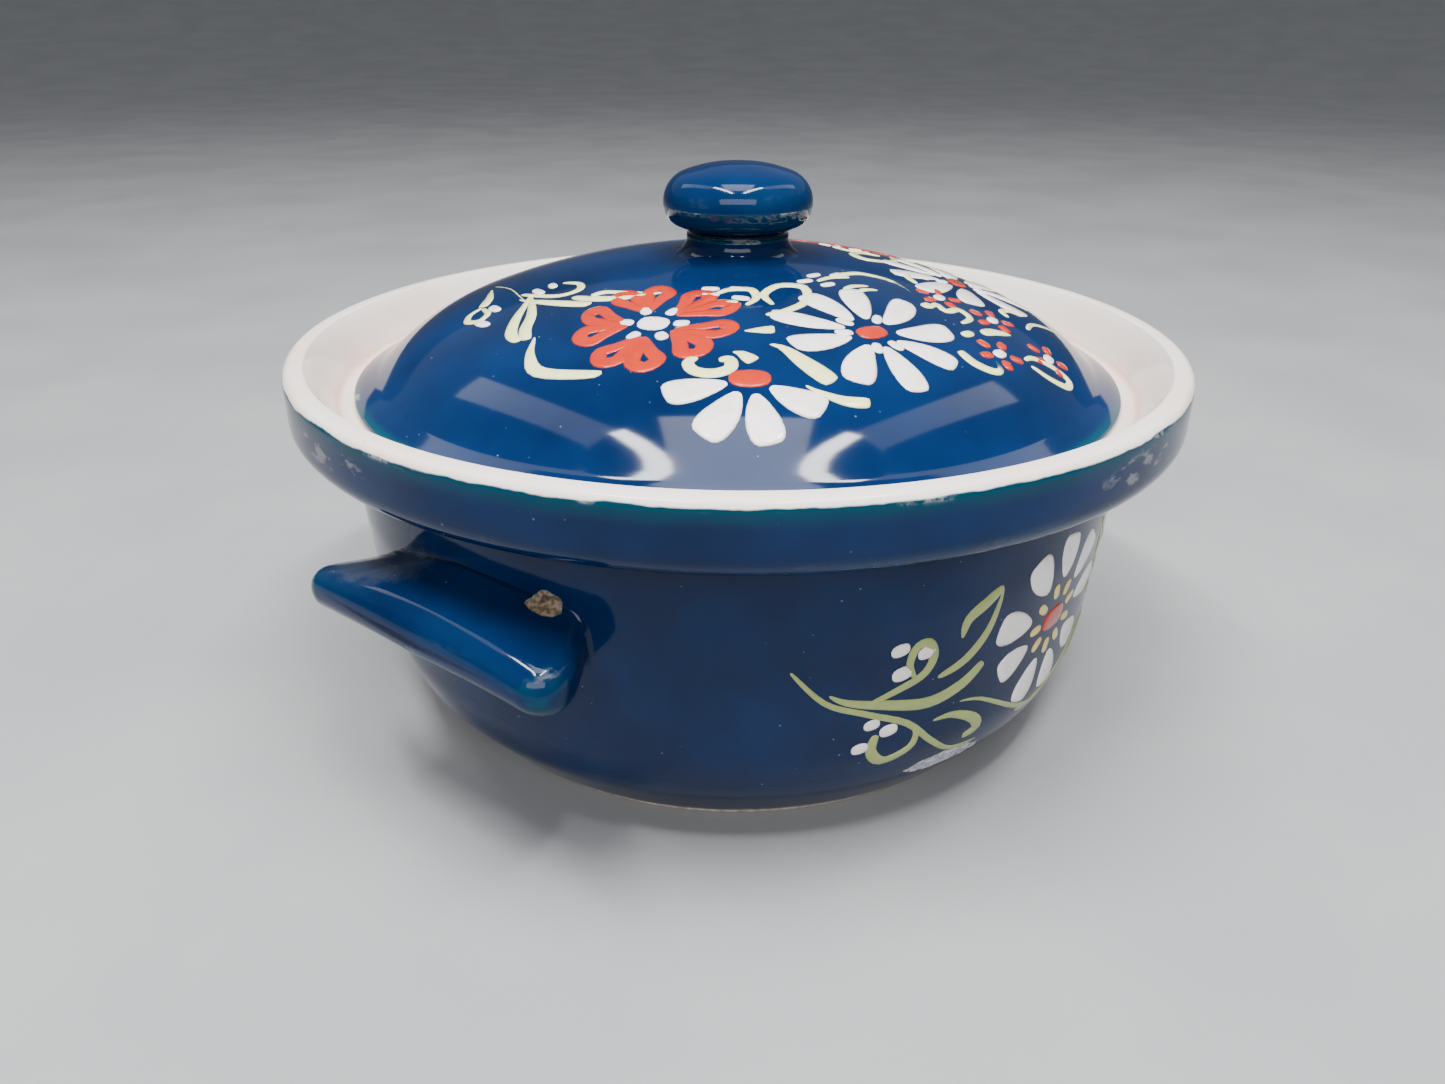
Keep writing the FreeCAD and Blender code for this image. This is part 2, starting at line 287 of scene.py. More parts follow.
class Finish:
    """A material, and the nodes that work out its look."""

    def __init__(self, name):
        self.material = bpy.data.materials.new(name)
        self.material.use_nodes = True
        self.nodes = self.material.node_tree.nodes
        self.shader = self.nodes["Principled BSDF"]
        self.place = self.node("ShaderNodeTexCoord", output="Object")

    def node(self, kind, settings=None, links=None, output=0):
        """Add a node: its settings first, then its sockets' values or links. Gives one of its outputs."""
        node = self.nodes.new(kind)
        for name, setting in (settings or {}).items():
            setattr(node, name, setting)
        for name, value in (links or {}).items():
            self.join(node.inputs[name], value)
        return Value(self, node.outputs[output])

    def join(self, socket, value):
        if isinstance(value, Value):
            self.material.node_tree.links.new(value.socket, socket)
        else:
            socket.default_value = value

    def noise(self, scale, detail=2.0, stretch=(1, 1, 1)):
        place = self.node("ShaderNodeMapping", {}, {"Vector": self.place, "Scale": stretch})
        links = {"Vector": place, "Scale": scale, "Detail": detail}
        return self.node("ShaderNodeTexNoise", {}, links)

    def attribute(self, name):
        return self.node("ShaderNodeAttribute", {"attribute_name": name}, output="Fac")

    def specks(self, scale, size):
        """Small round specks, one in each cell."""
        links = {"Vector": self.place, "Scale": scale}
        return 1 - self.node("ShaderNodeTexVoronoi", {}, links, output="Distance").step(size * 0.6, size)

    def mix(self, share, start, end):
        """A colour between two, each a colour or a link."""
        links = {0: share, 6: self._rgba(start), 7: self._rgba(end)}
        return self.node("ShaderNodeMix", {"data_type": "RGBA", "clamp_factor": True}, links, output=2)

    @staticmethod
    def _rgba(colour):
        return colour if isinstance(colour, Value) else (*colour, 1.0)

    def dot(self, vector, way):
        return self.node("ShaderNodeVectorMath", {"operation": "DOT_PRODUCT"}, {0: vector, 1: way}, "Value")

    def bump(self, height, distance, strength):
        links = {"Height": height, "Distance": distance, "Strength": strength}
        self.join(self.shader.inputs["Normal"], self.node("ShaderNodeBump", {}, links))

    def patch(self, centre, turn, length, height, depth, soft=0.2):
        """1 in a ragged blob round centre: its length lies along a heading, its depth across it."""
        along = ray(turn, 1.0).to_3d()
        offset = self.node("ShaderNodeVectorMath", {"operation": "SUBTRACT"}, {0: self.place, 1: centre})
        ragged = self.noise(420, 4) * 1.1 - 0.55
        for way, half in ((along, length), (AXIS, height), (AXIS.cross(along), depth)):
            part = self.dot(offset, way / half)
            ragged = ragged + part * part
        return 1 - ragged.step(1 - soft, 1)


DEEP_BLUE = (0.0007, 0.0090, 0.041)
MID_BLUE = (0.0010, 0.0195, 0.083)
TEAL = (0.0010, 0.046, 0.074)  # where the glaze runs thin, and the painted highlight along edges
POOLED_AND_SHADED_BLUE = (0.0008, 0.0045, 0.016)  # where the glaze pools, and the painted shade in hollows
PALE_SPECK = (0.16, 0.24, 0.33)
CREAM_WHITE = (0.87, 0.80, 0.745)
# a warm tint: the glaze's own blush, and also painted shade in the lining's hollows and down inside the pot
BLUSH_AND_SHADE = (0.76, 0.50, 0.40)
IRON_SPECK = (0.30, 0.19, 0.12)
CLAY, CLAY_GRAIN = (0.36, 0.28, 0.21), (0.56, 0.50, 0.43)
CHIP_GREY, CHIP_CRUMBS = (0.34, 0.36, 0.41), (0.62, 0.62, 0.62)
SPOT_BROWN, SPOT_CRUMBS = (0.17, 0.11, 0.06), (0.31, 0.25, 0.18)
# painted shade for the pits in broken clay
CREVICE_SHADE = (0.05, 0.045, 0.045)
DUST = (0.42, 0.42, 0.41)
# pale grey for dust and a painted sheen
DUST_AND_SHEEN = (0.10, 0.11, 0.13)

# Where the pot is worn and marked, and where a sheen is painted. Headings are in degrees round its axis.
SCUFFED = (168.0, 262.0)  # on the outside of the roll
CHIP_HEADING, CHIP_HEIGHT = 247.0, 18.5 * MM  # glaze flaked off above the foot
SPOT_HEADING, SPOT_AT = 283.0, Vector((-103.4, -24.8, 67.6)) * MM  # glaze missing at the left handle
DUST_AND_SHEEN_HEADING, DUST_AND_SHEEN_AT = 95.0, Vector((-110, 22, 66)) * MM  # dust and a painted sheen on top of that handle's other end


def blue_coat(finish, cloud, edge, lined):
    """Blue in clouds; teal on edges, as thin glaze and a painted highlight, and beside the lining; nearly
    black in hollows, as pooled glaze and painted shade; with pale specks.
    """
    blue = finish.mix(cloud.step(0.20, 0.85), DEEP_BLUE, MID_BLUE)
    # painted highlight: convex edges, such as the roll's lower corner, turn light teal, for thin glaze and
    # for the light they catch
    thin = (edge + (cloud - 0.5) * 160).step(60, 240)
    blue = finish.mix(thin * 0.75, blue, TEAL)
    # painted shade: hollows, such as the crease under the roll, go nearly black, for pooled glaze and for
    # shade
    blue = finish.mix((0 - edge).step(40, 260) * 0.7, blue, POOLED_AND_SHADED_BLUE)
    blue = finish.mix(lined.step(-5 * MM, 0) * 0.8, blue, TEAL)
    specks = finish.specks(300, 0.085) * finish.noise(60, 2).step(0.52, 0.62)
    return finish.mix(specks * 0.6, blue, PALE_SPECK)


def white_coat(finish, edge, lined):
    """Cream white, with a warm painted shade in hollows and further down inside the pot, a warm blush in
    random patches, and a few iron specks.
    """
    # painted shade: hollows and the pot's inside further down from the rim are tinted warm and darker; the
    # noise patches are the glaze's own blush
    hollow_shade = (0 - edge).step(40, 300) * 0.5
    patches = finish.noise(26, 2).step(0.40, 0.75) * 0.30
    white = finish.mix(hollow_shade + lined.step(6 * MM, 15 * MM) * 0.24 + patches, CREAM_WHITE, BLUSH_AND_SHADE)
    return finish.mix(finish.specks(210, 0.06) * 0.7, white, IRON_SPECK)


def wear(finish, edge, grain):
    """Where the blue is rubbed: along its edges, most of all at the foot, and in the roll's scuffs."""
    height = finish.dot(finish.place, AXIS)
    rubbed = finish.noise(70, 5, (1, 1, 3.5)) + (1 - height.step(4 * MM, 8 * MM)) * 0.10
    worn = edge.step(70, 200) * rubbed.step(0.57, 0.68) * grain.step(0.40, 0.56)
    for heading in SCUFFED:
        on_roll = ray(heading, RIM).to_3d() + AXIS * (POT_TOP - 7 * MM)
        scuff = finish.patch(on_roll, heading + 90, 17 * MM, 4 * MM, 7 * MM, soft=0.6)
        worn = worn.larger(scuff * finish.noise(150, 4, (1, 1, 2.5)).step(0.50, 0.62) * 0.6)
    return worn


def broken_clay(finish, spot):
    """What shows where glaze is gone: grey crumbs at the chip, brown at the handle's spot, with painted
    shade in the pits between the crumbs.
    """
    clay = finish.mix(spot, CHIP_GREY, SPOT_BROWN)
    crumbs = finish.noise(900, 3).step(0.42, 0.62)
    clay = finish.mix(crumbs, clay, finish.mix(spot, CHIP_CRUMBS, SPOT_CRUMBS))
    # painted shade: near black in the pits of the broken clay
    return finish.mix(finish.noise(330, 3).step(0.58, 0.68) * 0.8, clay, CREVICE_SHADE)


def glaze():
    """Glossy blue outside and cream white inside, bare clay where the pieces stand, and wear."""
    finish = Finish("blue_and_white_glaze")
    cloud = finish.noise(34, 3)
    grain = finish.noise(520, 3)
    edge = finish.attribute("edge")
    lined = finish.attribute("lined") + (finish.noise(95, 3) - 0.5) * 1.8 * MM
    lining = lined.step(-0.25 * MM, 0.25 * MM)
    bare = (finish.attribute("bare") + (finish.noise(190, 4) - 0.5) * 2.4 * MM).step(0, 0.3 * MM)
    worn = wear(finish, edge, grain)
    chip_at = skin_point(wall_skin, wall_skin.at_height(CHIP_HEIGHT), CHIP_HEADING)
    chip = finish.patch(chip_at, CHIP_HEADING + 90, 12 * MM, 3.4 * MM, 8 * MM)
    spot = finish.patch(SPOT_AT, SPOT_HEADING, 4.4 * MM, 3.4 * MM, 2.8 * MM)
    broken = chip.larger(spot) * (1 - lining)
    # dust and painted sheen: a pale grey patch on top of the left handle's far end, for dust and for the
    # light its top catches
    dust_and_sheen_patch = finish.patch(DUST_AND_SHEEN_AT, DUST_AND_SHEEN_HEADING, 18 * MM, 14 * MM, 10 * MM, soft=0.9)
    dust_and_sheen_mask = dust_and_sheen_patch * (1 - lining) * finish.noise(55, 4).step(0.2, 0.8)
    blue = finish.mix(worn * 0.55, blue_coat(finish, cloud, edge, lined), DUST)
    colour = finish.mix(lining, blue, white_coat(finish, edge, lined))
    colour = finish.mix(bare, colour, finish.mix(grain.step(0.3, 0.7), CLAY, CLAY_GRAIN))
    colour = finish.mix(broken * 0.95, colour, broken_clay(finish, spot))
    colour = finish.mix(dust_and_sheen_mask * 0.55, colour, DUST_AND_SHEEN)
    dull = broken.larger(bare)
    finish.join(finish.shader.inputs["Base Color"], colour)
    finish.join(finish.shader.inputs["Roughness"], grain * 0.10 + 0.20 + dull * 0.45 + worn * 0.15)
    finish.join(finish.shader.inputs["Coat Weight"], 1 - dull)
    finish.shader.inputs["Coat Roughness"].default_value = 0.075
    finish.shader.inputs["Coat IOR"].default_value = 1.29
    finish.shader.inputs["Specular IOR Level"].default_value = 0.0
    peel = finish.noise(150, 2) * 0.6 + grain * 0.08 - broken * 3.0
    finish.bump(peel, 0.10 * MM, 0.6)
    return finish.material


def slip(name, colour, shade):
    """Thick painted slip under a clear glaze: shaded by the brush, and thin at a stroke's rim."""
    finish = Finish(name)
    thin = finish.attribute("thin")
    brushed = finish.noise(260, 3)
    body = finish.mix(brushed.step(0.35, 0.75) * 0.45, colour, shade)
    body = finish.mix((thin + (brushed - 0.5) * 0.5).step(0.72, 1.05), body, TEAL)
    pits = finish.specks(520, 0.10) * finish.noise(90, 2).step(0.50, 0.60)
    body = finish.mix(pits * 0.35, body, shade)
    finish.join(finish.shader.inputs["Base Color"], body)
    finish.join(finish.shader.inputs["Roughness"], brushed * 0.15 + 0.25)
    finish.shader.inputs["Coat Weight"].default_value = 1.0
    finish.shader.inputs["Coat Roughness"].default_value = 0.08
    finish.shader.inputs["Coat IOR"].default_value = 1.36
    finish.shader.inputs["Specular IOR Level"].default_value = 0.12
    finish.bump(brushed * 0.7 + finish.noise(150, 2) * 0.5, 0.08 * MM, 0.6)
    return finish.material


# ---------------------------------------------------------------- skins that are painted on

class Skin:
    """The outer side of a turned piece between two heights, as a sheet that strokes are laid on."""

    def __init__(self, line, first, last, rise):
        self.points = line.points[first:last + 1]
        self.along = line.along[first:last + 1]
        self.rise = rise  # +1 where the outline runs up the piece, -1 where it runs down

    def at_height(self, height):
        return self._where(1, height)

    def at_radius(self, radius):
        return self._where(0, radius)

    def _where(self, part, wanted):
        for number, (start, end) in enumerate(zip(self.points, self.points[1:])):
            low, high = sorted((start[part], end[part]))
            if low <= wanted <= high and high > low:
                share = (wanted - start[part]) / (end[part] - start[part])
                return self.along[number] + share * (self.along[number + 1] - self.along[number])
        raise ValueError(f"the skin has no place at {wanted}")

    def profile(self, along):
        """The outline's point at a distance along it."""
        number = 0
        while number < len(self.along) - 2 and self.along[number + 1] < along:
            number += 1
        share = (along - self.along[number]) / (self.along[number + 1] - self.along[number])
        return self.points[number].lerp(self.points[number + 1], max(0.0, min(1.0, share)))


def skin_point(skin, along, azimuth, lift=0.0):
    """A point on a skin, or lifted off it, in the pot's own space."""
    here = skin.profile(along)
    way = (skin.profile(along + 0.8 * MM) - skin.profile(along - 0.8 * MM)).normalized() * skin.rise
    turn = math.radians(azimuth)
    spoke = Vector((math.cos(turn), math.sin(turn), 0))
    normal = spoke * way.y - AXIS * way.x
    return wobble(spoke * here.x + AXIS * here.y) + normal * lift


wall_skin = Skin(pot_line, pot_line.corner_at["heel"], pot_line.corner_at["neck"], 1)
lid_skin = Skin(lid_line, 0, lid_line.corner_at["flute"], -1)


# ---------------------------------------------------------------- brush strokes

# How a stroke swells: how fast it widens from its start, and how fast it closes at its end.
DOT = (0.5, 0.5)
PETAL = (0.95, 0.42)
CLUB = (0.75, 0.30)
LEAF = (1.6, 0.32)
TAIL = (0.30, 0.80)
LINE = (0.35, 0.35)
SPEAR = (0.55, 0.75)

SLIP_HEIGHT = 0.38 * MM
SINK = 0.12 * MM
SIDES = 8


def on_path(path, share):
    """A point part of the way along a smooth line through a path's points."""
    spans = len(path) - 1
    span = min(int(share * spans), spans - 1)
    t = share * spans - span
    a, b, c, d = (path[max(0, min(spans, span + step))] for step in (-1, 0, 1, 2))
    return (b * 2 + (c - a) * t + (a * 2 - b * 5 + c * 4 - d) * t * t + (b * 3 - a - c * 3 + d) * t ** 3) / 2


class Spot:
    """A place on a skin that a motif is painted round, in millimetres to the right and up the piece."""

    def __init__(self, skin, along, azimuth, turn=0.0, flip=False):
        self.skin = skin
        self.along = along
        self.azimuth = azimuth
        self.rotate = Matrix.Rotation(math.radians(turn), 2)
        self.side = -1 if flip else 1

    def point(self, mark, lift):
        right, up = self.rotate @ mark
        along = self.along + up * MM * self.skin.rise
        radius = self.skin.profile(along).x
        azimuth = self.azimuth + math.degrees(right * MM * self.side / radius)
        return skin_point(self.skin, along, azimuth, lift)


class Paint:
    """All the strokes of one colour on one body."""

    def __init__(self, name, body, material):
        self.name = name
        self.body = body
        self.material = material
        self.bm = bmesh.new()
        self.thin = self.bm.verts.layers.float.new("thin")

    def stroke(self, spot, path, half_width, form=LINE, fade=0.0):
        """One brush stroke: a round blob drawn out along a path of (right, up) points."""
        path = [Vector(point) for point in path]
        rings = 8 if len(path) == 2 else 4 + 4 * (len(path) - 1)
        grow, close = form
        widest = grow / (grow + close)
        peak = widest ** grow * (1 - widest) ** close
        height = min(SLIP_HEIGHT, half_width * MM * 0.3)
        blob = bmesh.ops.create_uvsphere(self.bm, u_segments=SIDES, v_segments=rings, radius=1.0)["verts"]
        for vert in blob:
            fine_ends = (1 - vert.co.z) / 2
            even = math.acos(max(-1.0, min(1.0, vert.co.z))) / math.pi
            share = fine_ends if len(path) == 2 else (fine_ends + even) / 2
            angle = math.atan2(vert.co.y, vert.co.x)
            swell = share ** grow * (1 - share) ** close / peak if 0 < share < 1 else 0.0
            centre = on_path(path, share)
            way = on_path(path, min(1.0, share + 0.02)) - on_path(path, max(0.0, share - 0.02))
            side = Vector((-way.y, way.x)).normalized() * half_width * swell * math.cos(angle)
            rise = math.sin(angle)
            lift = height * min(1.0, swell * 1.6) * (abs(rise) ** 0.6 if rise > 0 else -0.5 * abs(rise))
            rim = abs(math.cos(angle)) ** 3 if 0 < share < 1 else 1.0
            vert[self.thin] = max(rim, fade * share)
            vert.co = spot.point(centre + side, lift - SINK)

    def dot(self, spot, centre, half_length, half_width, turn=0.0):
        reach = Vector((math.cos(math.radians(turn)), math.sin(math.radians(turn)))) * half_length
        centre = Vector(centre)
        self.stroke(spot, [centre - reach, centre + reach], half_width, DOT)

    def finish(self):
        bmesh.ops.remove_doubles(self.bm, verts=self.bm.verts, dist=0.001 * MM)
        bmesh.ops.recalc_face_normals(self.bm, faces=self.bm.faces)
        shade_smooth(self.bm)
        finish_piece(self.bm, self.name, self.body, self.material)


# Each slip's colour, and its shade where the brush left it thinner.
WHITE, WHITE_SHADE = (0.92, 0.87, 0.85), (0.74, 0.62, 0.57)
CORAL, CORAL_SHADE = (0.50, 0.026, 0.006), (0.36, 0.018, 0.006)
PALE_LEAF, PALE_LEAF_SHADE = (0.84, 0.86, 0.44), (0.66, 0.70, 0.26)
OLIVE_LEAF, OLIVE_LEAF_SHADE = (0.34, 0.40, 0.13), (0.24, 0.29, 0.09)
YELLOW, YELLOW_SHADE = (0.86, 0.66, 0.20), (0.55, 0.38, 0.12)

random.seed(12)
white_slip = slip("white_slip", WHITE, WHITE_SHADE)
coral_slip = slip("coral_slip", CORAL, CORAL_SHADE)
lid_white = Paint("lid_white_strokes", "lid", white_slip)
lid_coral = Paint("lid_coral_strokes", "lid", coral_slip)
lid_leaf = Paint("lid_leaf_strokes", "lid", slip("pale_leaf_slip", PALE_LEAF, PALE_LEAF_SHADE))
wall_white = Paint("wall_petal_strokes", "pot", white_slip)
wall_coral = Paint("wall_coral_strokes", "pot", coral_slip)
wall_leaf = Paint("wall_leaf_strokes", "pot", slip("olive_leaf_slip", OLIVE_LEAF, OLIVE_LEAF_SHADE))
wall_yellow = Paint("wall_yellow_strokes", "pot", slip("yellow_slip", YELLOW, YELLOW_SHADE))


def daisy(petals, hearts, spot, angles, inner, outer, half_width, heart):
    """Broad petals round a coral heart."""
    for angle in angles:
        angle += random.uniform(-3, 3)
        length = outer * random.uniform(0.94, 1.05)
        bend = ray(angle + 90, random.uniform(-0.8, 0.8))
        path = [ray(angle, inner), ray(angle, (inner + length) / 2) + bend, ray(angle, length)]
        petals.stroke(spot, path, half_width * random.uniform(0.92, 1.06), PETAL)
    hearts.dot(spot, (0, 0), heart, heart * 0.76)


def beads(dots, spot, angles, reach):
    """Small dots round a flower's heart, each drawn out a little from it."""
    for angle in angles:
        dots.dot(spot, ray(angle + random.uniform(-4, 4), reach), 2.2, 1.5, angle)


def bloom(spot):
    """A coral flower of five heart-shaped petals, each two loops of thick slip, round a white button."""
    for petal in range(5):
        middle = -90 + 72 * petal
        for side in (-1, 1):
            turn = middle + side * 17
            swing = side * random.uniform(0.92, 1.08)
            loop = [ray(middle, 6), ray(turn + 3 * swing, 12), ray(turn + 9 * swing, 16), ray(turn, 18.5),
                    ray(turn - 10 * swing, 16.5), ray(middle + 5 * swing, 11.5), ray(middle, 7)]
            lid_coral.stroke(spot, loop, 2.3, LINE)
    lid_white.dot(spot, (0, 0), 3.9, 3.6)
    for button in range(6):
        lid_white.dot(spot, ray(60 * button + 10, 6.6), 1.9, 1.7, 60 * button + 10)


def posy(spot):
    """A small five-dotted coral flower with a white centre."""
    for petal in range(5):
        lid_coral.dot(spot, ray(72 * petal + 20, 4.6), 1.9, 1.6, 72 * petal + 20)
    lid_white.dot(spot, (0, 0), 2.2, 1.8)


LID_GARLAND = 277.0  # where the middle of the lid's garland lies
WALL_SPRAY = 264.0  # where the middle of a wall spray lies: there is one on each side of the pot
SPRAY_HEIGHT = 49.4 * MM


def lid_spot(radius, azimuth, flip=False):
    """A place on the lid: millimetres out from its axis, and degrees from the garland's middle."""
    heading = LID_GARLAND - azimuth if flip else LID_GARLAND + azimuth
    return Spot(lid_skin, lid_skin.at_radius(radius * MM), heading, flip=flip)


def leaf_on_lid(radius, azimuth, path, half_width, form=LEAF, fade=0.0, flip=False):
    lid_leaf.stroke(lid_spot(radius, azimuth, flip), path, half_width, form, fade)


def lid_half(flip):
    """Half of the garland on the lid, from its middle out to the end of its spray."""
    spot = partial(lid_spot, flip=flip)
    leaf = partial(leaf_on_lid, flip=flip)
    daisy(lid_white, lid_coral, spot(60.3, -30), range(146, -214, -40), 5.3, 22.3, 4.3, 4.1)
    beads(lid_white, spot(60.3, -30), (166, 126, 46, -74, -114), 6.9)
    daisy(lid_white, lid_coral, spot(73.6, -59), (-161, -119, -80, -35), 4.4, 20.0, 4.4, 4.7)
    bloom(spot(54.7, -82))
    # spray at the garland's end
    leaf(68, -154, [(0, 0), (8, 1), (16, 1), (23, -1)], 1.7)
    leaf(70, -132, [(-3, 1), (-1, -2.6), (4, -4), (7, -1.5), (4, 1.5), (-2, 1)], 1.2, LINE)
    lid_white.dot(spot(67, -130), (0, 0.5), 3.4, 1.5, 8)
    lid_white.dot(spot(70.5, -124), (0, -1), 3.4, 1.6, 12)
    leaf(57, -130, [(0, 0), (7, -3.5), (14, -8.5), (22, -13.5), (28, -15)], 1.6, CLUB)
    leaf(57, -130, [(0, 0), (8, -2), (16, -5.5), (23, -10.5), (29, -13.5)], 1.6, CLUB)
    leaf(62, -134, [(0, 0), (8, 3), (17, 7), (26, 11)], 2.0)
    leaf(60, -133, [(0, 1), (6, 4), (12, 8), (12, 13), (7, 15), (2, 12)], 1.2, LINE)
    lid_white.dot(spot(55, -130), (0, 0), 3.2, 1.4, 10)
    lid_white.dot(spot(51, -131), (0, 0), 2.4, 1.4, 0)
    leaf(51, -115, [(0, 0), (6, 2), (13, 6), (19, 13)], 1.8, SPEAR)
    leaf(48, -111, [(1, 0), (2, 3), (6, 5), (13, 8)], 1.3, TAIL)
    leaf(64, -110, [(0, 0), (6, -5), (12, -11), (20, -15), (34, -12)], 2.1)
    leaf(68, -154, [(0, 0), (12, 7), (26, 9), (38, 8)], 0.45, LINE, 1.0)
    # curls and small leaves between the flowers
    leaf(38, -69, [(0, 0), (3, 3), (8, 3), (10, -2), (8, -6)], 1.3, LINE)
    for radius, azimuth, turned_by in ((35, -72, 5), (38.5, -71, 0), (34.5, -61, -10), (40, -60, -15)):
        lid_white.dot(spot(radius, azimuth), (0, 0), 2.3, 1.4, turned_by)
    leaf(42.5, -63, [(-1.6, 0), (1.6, 0)], 1.5, DOT)
    leaf(56, -61, [(0, 0), (8.5, 0.5)], 1.9)
    leaf(66, -63, [(0, 2), (3, 1), (6, -2)], 2.0)
    leaf(68.5, -66, [(-3.2, 2), (-5, -0.4), (-3.2, -3.2), (1, -3.8), (4.4, -1.8), (4, 1.4), (1.6, 1)],
         1.9, LINE)
    leaf(44, -50, [(0, 0), (-1, 6), (4, 11), (10, 8.5), (8.5, 1), (2, -3.5), (-3, -5)], 1.5, LINE)
    leaf(61, -58, [(0, 0), (6, -1.5), (11, -8), (17, -16)], 2.7)
    leaf(73, -52, [(0, 0), (4, -5), (10, -9), (16, -10.5)], 1.8)


def lid_middle():
    """The small flowers, curls and leaves between the garland's two large daisies."""
    for radius, azimuth in ((78, -8), (70, 6), (85.5, 3), (56, 6)):
        posy(lid_spot(radius, azimuth))
    leaf_on_lid(73, -16, [(0, 0), (-0.5, -5), (2, -9), (5, -9.5), (7, -6)], 1.7, TAIL, 1.2)
    leaf_on_lid(69, -8, [(-2.2, 0), (2.2, -0.6)], 1.5, DOT)
    leaf_on_lid(56, -4, [(-1.8, 0), (1.8, 0)], 1.7, DOT)
    leaf_on_lid(33, -24, [(0, 0), (5, 0.5), (11, -2)], 1.0, LINE)
    for right, up in ((-3, 1), (2, 3.6), (1, -3), (8, 1)):
        lid_white.dot(lid_spot(33, -24), (right, up), 2.3, 1.3)
    leaf_on_lid(41, -14, [(-4, 1.2), (0, 1.6), (4.5, -0.4)], 1.0, SPEAR)
    leaf_on_lid(41, -14, [(-3, -1.8), (1, -1.4), (4.5, -3.4)], 1.0, SPEAR)
    leaf_on_lid(32, -9, [(-2, 0), (3, -1), (8, -4), (11, -12), (8, -20)], 1.2, TAIL, 1.2)
    leaf_on_lid(49, 12, [(0, 0), (4, 3), (9, 2), (9, -3)], 1.3, LINE)
    leaf_on_lid(60, -2, [(-3, 3), (1.5, 3), (0, -0.5), (5, -2), (3, -6), (-3, -6)], 1.3, LINE)
    leaf_on_lid(84, -4, [(0, 2), (4, 1), (8, -4), (9, -9), (5, -9.5), (1, -5), (-0.5, 0)], 1.3, LINE)
    leaf_on_lid(73, -1, [(-4, 2), (0, 1), (5, -3)], 1.9, SPEAR)
    leaf_on_lid(73, 13, [(0, 0), (3, 2), (7, 0), (8, -4)], 1.2, LINE)
    leaf_on_lid(80, 11, [(0, 2), (7, 1), (14, -4), (19, -10)], 0.9, TAIL)


def wall_half(turn, flip):
    """Half of the spray on the wall, from the daisy in its middle out to the tip of its stem."""
    spot = Spot(wall_skin, wall_skin.at_height(SPRAY_HEIGHT), turn, flip=flip)

    def leaf(path, half_width, form=LINE):
        wall_leaf.stroke(spot, path, half_width, form)

    leaf([(-76, 5.5), (-67, -4), (-57, -8.5), (-46, -13.5), (-38, -21), (-30, -27), (-20.5, -28)], 1.0)
    leaf([(-67, -1.5), (-62, -4.5), (-52, -7), (-41, -9), (-32, -6.5), (-26.5, -2)], 1.9, CLUB)
    leaf([(-57, -6), (-50.5, -3.5), (-44, -0.5), (-42, 4), (-44, 8), (-47, 7.5), (-48, 3), (-46, -1)], 1.4)
    leaf([(-40, -2.5), (-32.5, 0.5), (-27, 7), (-24.5, 17.5)], 1.5, SPEAR)
    leaf([(-24.6, 17.5), (-29.5, 14.5), (-34, 11.5), (-34.8, 6.5)], 1.9, SPEAR)
    leaf([(-33, -11.5), (-24.5, -13.5), (-9, -22.5), (1, -26.5), (7, -25)], 1.0, CLUB)
    leaf([(-39.5, -15), (-33, -15), (-26, -18.5), (-23.5, -22.5), (-27.5, -24)], 1.8, CLUB)
    leaf([(-46, -13.5), (-43, -17), (-44, -21.5), (-50, -24), (-54, -20), (-53.5, -15)], 1.6, CLUB)
    for right, up, half in ((-51, 7.5, 2.3), (-44, 5.5, 2.4), (-49.5, 1, 2.6),
                            (-55, -12, 2.0), (-50.5, -14.5, 2.3), (-57, -18.5, 2.1)):
        wall_white.dot(spot, (right, up), half, half * 0.85, 10)


lid_half(False)
lid_half(True)
lid_middle()
for side in (WALL_SPRAY, WALL_SPRAY - 180):
    heart = Spot(wall_skin, wall_skin.at_height(SPRAY_HEIGHT), side)
    daisy(wall_white, wall_coral, heart, range(5, 365, 40), 10.4, 23, 4.9, 5.0)
    beads(wall_yellow, heart, range(23, 383, 40), 8.0)
    wall_half(side, False)
    wall_half(side, True)


# ---------------------------------------------------------------- handles

HANDLE_HALF = 44 * MM  # half the width at the tip
HANDLE_FLARE = 0.586  # how fast the sides spread outwards
SIDE_REACH = 20 * MM  # wall to tip along the handle's sides
MID_REACH = HANDLE_TIP - WALL
ROOT_MIDDLE = ROLL_UNDER - 20.2 * MM  # mid-thickness at the wall, before the arch drops the sides
TIP_MIDDLE = ROLL_UNDER - 25 * MM
ROOT_THICK, TIP_THICK = 13.5 * MM, 11 * MM
EDGE_ROUND = 4.6 * MM  # along the handle's edges
CORNER_ROUND = 11 * MM  # at the tip's two corners, seen from above
ARCH_RADIUS = 111.5 * MM  # how the handle is arched from side to side, at mid-thickness
ARCH_SPREAD = 3.5 * MM  # its top is arched in a radius that much less, its underside that much more
ARCH_EASE = 0.42  # share of the arch that is gone at the tip
TIP_RADIUS = 400 * MM  # the tip's edge, seen from above
SKIRT = 1.2 * MM  # radius of the soft join to the wall, above and below
SIDE_SKIRT = 3 * MM  # the same at the handle's two sides
TWIST_ROOT, TWIST_TIP = -5.32 * MM, 3.8 * MM  # how far one side is pushed down at the wall, up at the tip
QUARTER = [15.0 * step for step in range(7)]  # how a quarter-round is divided, in degrees
FLAT_STEPS = 16
MIDDLE_RINGS = 6  # between the soft join and the rounded tip


def rounded_off(radius, distance):
    """How far a quarter-round of that radius has fallen away at a distance from its end."""
    gap = max(0.0, radius - distance)
    return radius - math.sqrt(radius * radius - gap * gap)


